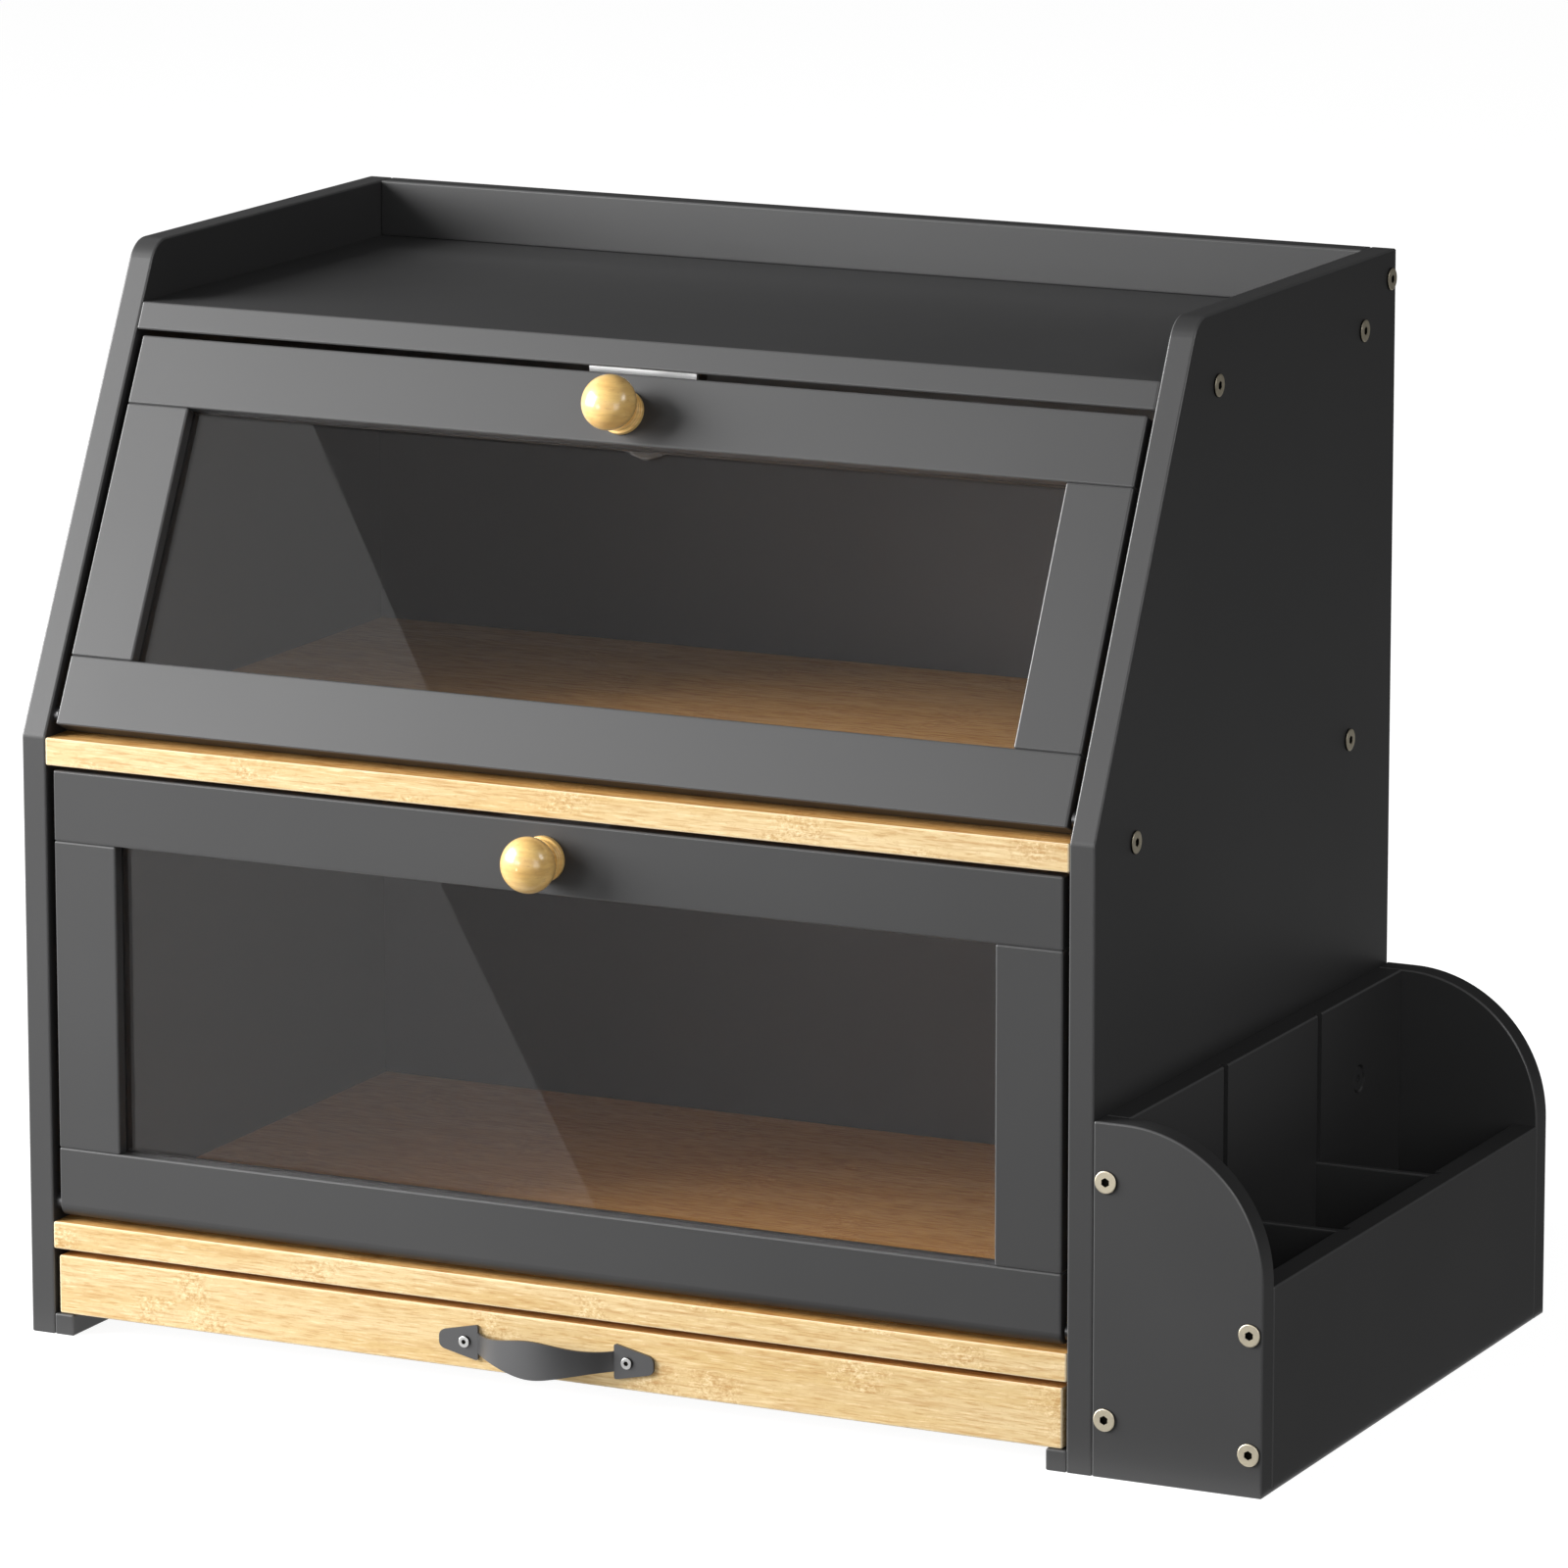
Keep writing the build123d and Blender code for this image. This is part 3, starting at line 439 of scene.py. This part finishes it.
def make_knob_wood():
    """Turned light wood under gloss lacquer: fine level grain and a few darker flecks."""
    material, tree, output = new_material("knob_wood")
    shader = principled(tree, output, Roughness=0.3, Coat_Weight=0.9, Coat_Roughness=0.15)
    broad = noise(tree, *KNOB_BROAD)
    lines = noise(tree, *KNOB_LINES)
    colour = mix_colours(tree, remap(tree, broad, *NOISE_RANGE), KNOB_PALE, KNOB_DEEP)
    colour = layer(tree, colour, lines, KNOB_LINE_LAYER, KNOB_FLECK)
    colour = layer(tree, colour, noise(tree, *KNOB_SPOTS), KNOB_SPOT_LAYER, KNOB_FLECK)
    tree.links.new(colour, shader.inputs["Base Color"])
    tree.links.new(remap(tree, lines, *NOISE_RANGE, *KNOB_SHEENS), shader.inputs["Roughness"])
    return material


def make_glass():
    """A clear pane with a faint haze where it was wiped; lamps shine through it into the box."""
    material, tree, output = new_material("pane")
    shader = principled(tree, output, Base_Color=GLASS_TINT, Roughness=0.0, IOR=1.45,
                        Transmission_Weight=1.0)
    wipe = remap(tree, noise(tree, *PANE_WIPE), *WIPE_RANGE, 0.0, PANE_HAZE)
    tree.links.new(wipe, shader.inputs["Roughness"])
    clear = tree.nodes.new("ShaderNodeBsdfTransparent")
    clear.inputs["Color"].default_value = (*GLASS_LETS_IN, 1.0)
    path = tree.nodes.new("ShaderNodeLightPath")
    mix = tree.nodes.new("ShaderNodeMixShader")
    tree.links.new(path.outputs["Is Shadow Ray"], mix.inputs["Fac"])
    tree.links.new(shader.outputs["BSDF"], mix.inputs[1])
    tree.links.new(clear.outputs["BSDF"], mix.inputs[2])
    tree.links.new(mix.outputs["Shader"], output.inputs["Surface"])
    return material


def deep_in_socket(tree, axis, middle, face):
    """1 below the face of a screw head, which lies face metres from middle along one axis."""
    where = tree.nodes.new("ShaderNodeTexCoord")
    axes = tree.nodes.new("ShaderNodeSeparateXYZ")
    tree.links.new(where.outputs["Object"], axes.inputs["Vector"])
    out = math_node(tree, "ABSOLUTE", math_node(tree, "SUBTRACT", axes.outputs[axis], middle))
    return remap(tree, out, face - 2 * SOCKET_EDGE, face - SOCKET_EDGE, 1.0, 0.0)


def make_metal(name, colour, dark, sheens, stretch=EVEN, socket=None):
    """Plated or brushed metal: fine marks, and painted shade in the socket of a screw's head."""
    material, tree, output = new_material(name)
    shader = principled(tree, output, Metallic=1.0, Roughness=sheens[0])
    marks = noise(tree, stretch, MARK_SCALE, MARK_DETAIL)
    finish = mix_colours(tree, remap(tree, marks, *MARK_RANGE), colour, dark)
    if socket:
        # painted shade deep in the socket
        finish = mix_colours(tree, deep_in_socket(tree, *socket), finish, SOCKET_SHADE)
    tree.links.new(finish, shader.inputs["Base Color"])
    tree.links.new(remap(tree, marks, *NOISE_RANGE, *sheens), shader.inputs["Roughness"])
    tree.links.new(bump(tree, marks, MARK_DEPTH), shader.inputs["Normal"])
    return material


def make_black_coat():
    """Blackened steel under a satin coat."""
    material, tree, output = new_material("black_steel")
    shader = principled(tree, output, Metallic=0.8, Roughness=0.38)
    fine = place_group(tree, FINE_TEXTURE, Grain_Size=2200.0, Patch_Size=40.0,
                       Low_Sheen=0.34, High_Sheen=0.42)
    colour = mix_colours(tree, fine.outputs["Patch"], BLACK_STEEL, BLACK_STEEL_DARK)
    tree.links.new(colour, shader.inputs["Base Color"])
    tree.links.new(fine.outputs["Sheen"], shader.inputs["Roughness"])
    tree.links.new(bump(tree, fine.outputs["Height"], PEEL_DEPTH), shader.inputs["Normal"])
    return material


# ---------------------------------------------------------------- the studio
def seen_white(tree):
    """1 where the white surround is looked at, also in a reflection or through a pane."""
    path = tree.nodes.new("ShaderNodeLightPath")
    seen = path.outputs["Is Camera Ray"]
    for kind in ("Is Transmission Ray", "Is Glossy Ray"):
        seen = math_node(tree, "MAXIMUM", seen, path.outputs[kind])
    return seen


def make_floor_material():
    """A white floor: plain white wherever it is seen, darker only where the box shades it."""
    material, tree, output = new_material("studio_floor")
    material.cycles.emission_sampling = "NONE"
    diffuse = tree.nodes.new("ShaderNodeBsdfDiffuse")
    diffuse.inputs["Color"].default_value = (FLOOR_COLOUR, FLOOR_COLOUR, FLOOR_COLOUR, 1.0)
    glow = tree.nodes.new("ShaderNodeEmission")
    glow.inputs["Color"].default_value = (*WHITE, 1.0)
    add = tree.nodes.new("ShaderNodeAddShader")
    strength = math_node(tree, "MULTIPLY", seen_white(tree), FLOOR_GLOW)
    tree.links.new(strength, glow.inputs["Strength"])
    tree.links.new(diffuse.outputs["BSDF"], add.inputs[0])
    tree.links.new(glow.outputs["Emission"], add.inputs[1])
    tree.links.new(add.outputs["Shader"], output.inputs["Surface"])
    return material


def make_sheet(name, corners, material):
    """A flat four-sided sheet through its corners, as a part of the stage."""
    mesh = bpy.data.meshes.new(name)
    shape = bmesh.new()
    shape.faces.new([shape.verts.new(corner) for corner in corners])
    shape.to_mesh(mesh)
    shape.free()
    sheet = bpy.data.objects.new(name, mesh)
    bpy.context.scene.collection.objects.link(sheet)
    sheet.data.materials.append(material)
    return sheet


def make_floor():
    """A large flat floor under the box."""
    far = FLOOR_REACH
    corners = [(-far, -far, 0.0), (far, -far, 0.0), (far, far, 0.0), (-far, far, 0.0)]
    make_sheet("studio_floor", corners, make_floor_material())


def make_card(name, corners, strength):
    """A flat card of one brightness that shows in reflections alone."""
    material, tree, output = new_material(name)
    material.cycles.emission_sampling = "NONE"
    glow = tree.nodes.new("ShaderNodeEmission")
    glow.inputs["Strength"].default_value = strength
    tree.links.new(glow.outputs["Emission"], output.inputs["Surface"])
    card = make_sheet(name, corners, material)
    card.visible_camera = False
    card.visible_diffuse = False
    card.visible_transmission = False
    card.visible_shadow = False


def level_card(name, height, strength, outline):
    """A card that lies level."""
    make_card(name, [(x, y, height) for x, y in outline], strength)


def upright_card(name, start, end):
    """A dark card that stands on the floor between two places."""
    make_card(name, [(*start, 0.0), (*end, 0.0), (*end, CARD_HEIGHT), (*start, CARD_HEIGHT)], CARD_DARK)


def make_cards():
    """The pale and the dark cards: overhead, on the floor, and dark ones at the right and the back."""
    far = CARD_REACH
    edge = CARD_EDGE_X
    near, away = FLOOR_EDGE_NEAR, FLOOR_EDGE_FAR
    level_card("overhead_pale_card", CARD_HEIGHT, CARD_GLARE,
               [(-far, -far), (edge, -far), (edge, far), (-far, far)])
    level_card("overhead_dim_card", CARD_HEIGHT, CARD_DIM,
               [(edge, -far), (far, -far), (far, far), (edge, far)])
    level_card("floor_pale_card", FLOOR_CARD_HEIGHT, CARD_FLOOR_GLARE,
               [(-far, away[1]), away, near, (-far, near[1])])
    level_card("floor_dark_card", FLOOR_CARD_HEIGHT, CARD_DARK,
               [away, (far, away[1]), (far, near[1]), near])
    level_card("floor_right_card", FLOOR_CARD_HEIGHT, CARD_SIDE,
               [(CARD_SIDE_X, near[1]), (far, near[1]), (far, far), (CARD_SIDE_X, far)])
    upright_card("right_dark_card", (CARD_RIGHT_X, -far), (CARD_RIGHT_X, far))
    upright_card("back_dark_card", (-far, CARD_BACK_Y), (far, CARD_BACK_Y))


def make_world():
    """A white surround where it is seen, and a studio that is lighter on the front left as light."""
    world = bpy.data.worlds.new("studio")
    bpy.context.scene.world = world
    world.use_nodes = True
    tree = world.node_tree
    tree.nodes.clear()
    output = tree.nodes.new("ShaderNodeOutputWorld")
    background = tree.nodes.new("ShaderNodeBackground")
    direction = tree.nodes.new("ShaderNodeTexCoord")
    towards = tree.nodes.new("ShaderNodeVectorMath")
    towards.operation = "DOT_PRODUCT"
    tree.links.new(direction.outputs["Generated"], towards.inputs[0])
    towards.inputs[1].default_value = Vector(FILL_FROM).normalized()
    fill = remap(tree, towards.outputs["Value"], FILL_EDGE, 1.0, FILL_DARK, FILL_BRIGHT)
    lit = math_node(tree, "MAXIMUM", fill, seen_white(tree))
    tree.links.new(lit, background.inputs["Strength"])
    background.inputs["Color"].default_value = (*WHITE, 1.0)
    tree.links.new(background.outputs["Background"], output.inputs["Surface"])


def make_soft_light(name, direction, distance, size, power):
    """A soft box that stands off in a direction from the target and faces it."""
    target = Vector(LIGHT_TARGET)
    place = target + distance * Vector(direction).normalized()
    data = bpy.data.lights.new(name, "AREA")
    data.shape = "RECTANGLE"
    data.size, data.size_y = size
    data.energy = power
    light = bpy.data.objects.new(name, data)
    light.location = place
    light.rotation_euler = (target - place).to_track_quat("-Z", "Y").to_euler()
    light.visible_camera = False
    light.visible_transmission = False      # its light comes through the panes as shadow rays find it
    bpy.context.scene.collection.objects.link(light)


def make_camera():
    """The camera that the picture was taken with."""
    data = bpy.data.cameras.new("picture_camera")
    data.sensor_width = SENSOR_WIDTH
    data.sensor_fit = "HORIZONTAL"
    data.lens = SENSOR_WIDTH * FOCAL_PIXELS / PICTURE_WIDTH
    data.shift_x = (PICTURE_WIDTH / 2 - CENTRE_PIXELS[0]) / PICTURE_WIDTH
    data.shift_y = (CENTRE_PIXELS[1] - PICTURE_WIDTH / 2) / PICTURE_WIDTH
    data.clip_end = CAMERA_SEES
    camera = bpy.data.objects.new("picture_camera", data)
    camera.location = CAMERA_PLACE
    camera.rotation_euler = (math.pi / 2 - CAMERA_PITCH, 0.0, CAMERA_YAW)
    bpy.context.scene.collection.objects.link(camera)
    bpy.context.scene.camera = camera


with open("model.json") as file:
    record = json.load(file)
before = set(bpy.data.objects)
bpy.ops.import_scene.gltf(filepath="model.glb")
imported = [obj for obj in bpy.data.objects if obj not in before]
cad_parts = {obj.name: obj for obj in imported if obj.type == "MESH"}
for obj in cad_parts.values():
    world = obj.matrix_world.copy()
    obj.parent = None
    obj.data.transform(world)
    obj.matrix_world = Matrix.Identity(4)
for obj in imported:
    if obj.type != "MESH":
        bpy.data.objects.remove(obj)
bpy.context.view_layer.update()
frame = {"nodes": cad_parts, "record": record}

materials = {
    "painted_board": make_paint("painted_board", Square_Board=1.0),
    "painted_side": make_paint("painted_side", Cut_Across_X=1.0),
    "painted_end": make_paint("painted_end", Cut_Across_Y=1.0),
    # no painted edge highlight on the big round under this rail, which faces down
    "painted_round": make_paint("painted_round", Square_Board=1.0, Skip_Below=1.0),
    "stained_stop": make_paint("stained_stop", BLACK_STAIN, PAINT),
    "bamboo": make_bamboo(),
    "knob_wood": make_knob_wood(),
    "pane": make_glass(),
    "brass_screw": make_metal("brass_screw", BRASS, BRASS_DARK, BRASS_SHEENS,
                              socket=("X", PANEL_MIDDLE, PANEL_HEAD_FACE)),
    "brass_front_screw": make_metal("brass_front_screw", BRASS, BRASS_DARK, BRASS_SHEENS,
                                    socket=("Y", CADDY_MIDDLE, CADDY_HEAD_FACE)),
    "steel": make_metal("steel", STEEL, STEEL_DARK, STEEL_SHEENS, BRUSHED),
    "steel_screw": make_metal("steel_screw", ZINC, ZINC_DARK, ZINC_SHEENS,
                              socket=("Y", CADDY_MIDDLE, HANDLE_HEAD_FACE)),
    "black_steel": make_black_coat(),
}
slot_of_node = {row["node"]: row["material_slot"] for row in frame["record"]["subparts"]}
slot_of_node["caddy_screws"] = "brass_front_screw"
for side in ("left", "right"):
    slot_of_node[side + "_side_panel"] = "painted_side"
for end in ("front", "back"):
    slot_of_node["caddy_" + end] = "painted_end"
for door in ("upper", "lower"):
    slot_of_node[door + "_door_stop"] = "stained_stop"
slot_of_node["lower_door_bottom_rail"] = "painted_round"
slot_of_node["handle_screws"] = "steel_screw"
for name, node in frame["nodes"].items():
    node.data.materials.clear()
    node.data.materials.append(materials[slot_of_node[name]])

make_floor()
make_cards()
make_world()
make_camera()
bpy.context.scene.view_settings.view_transform = "Standard"
for light in LIGHTS:
    make_soft_light(*light)
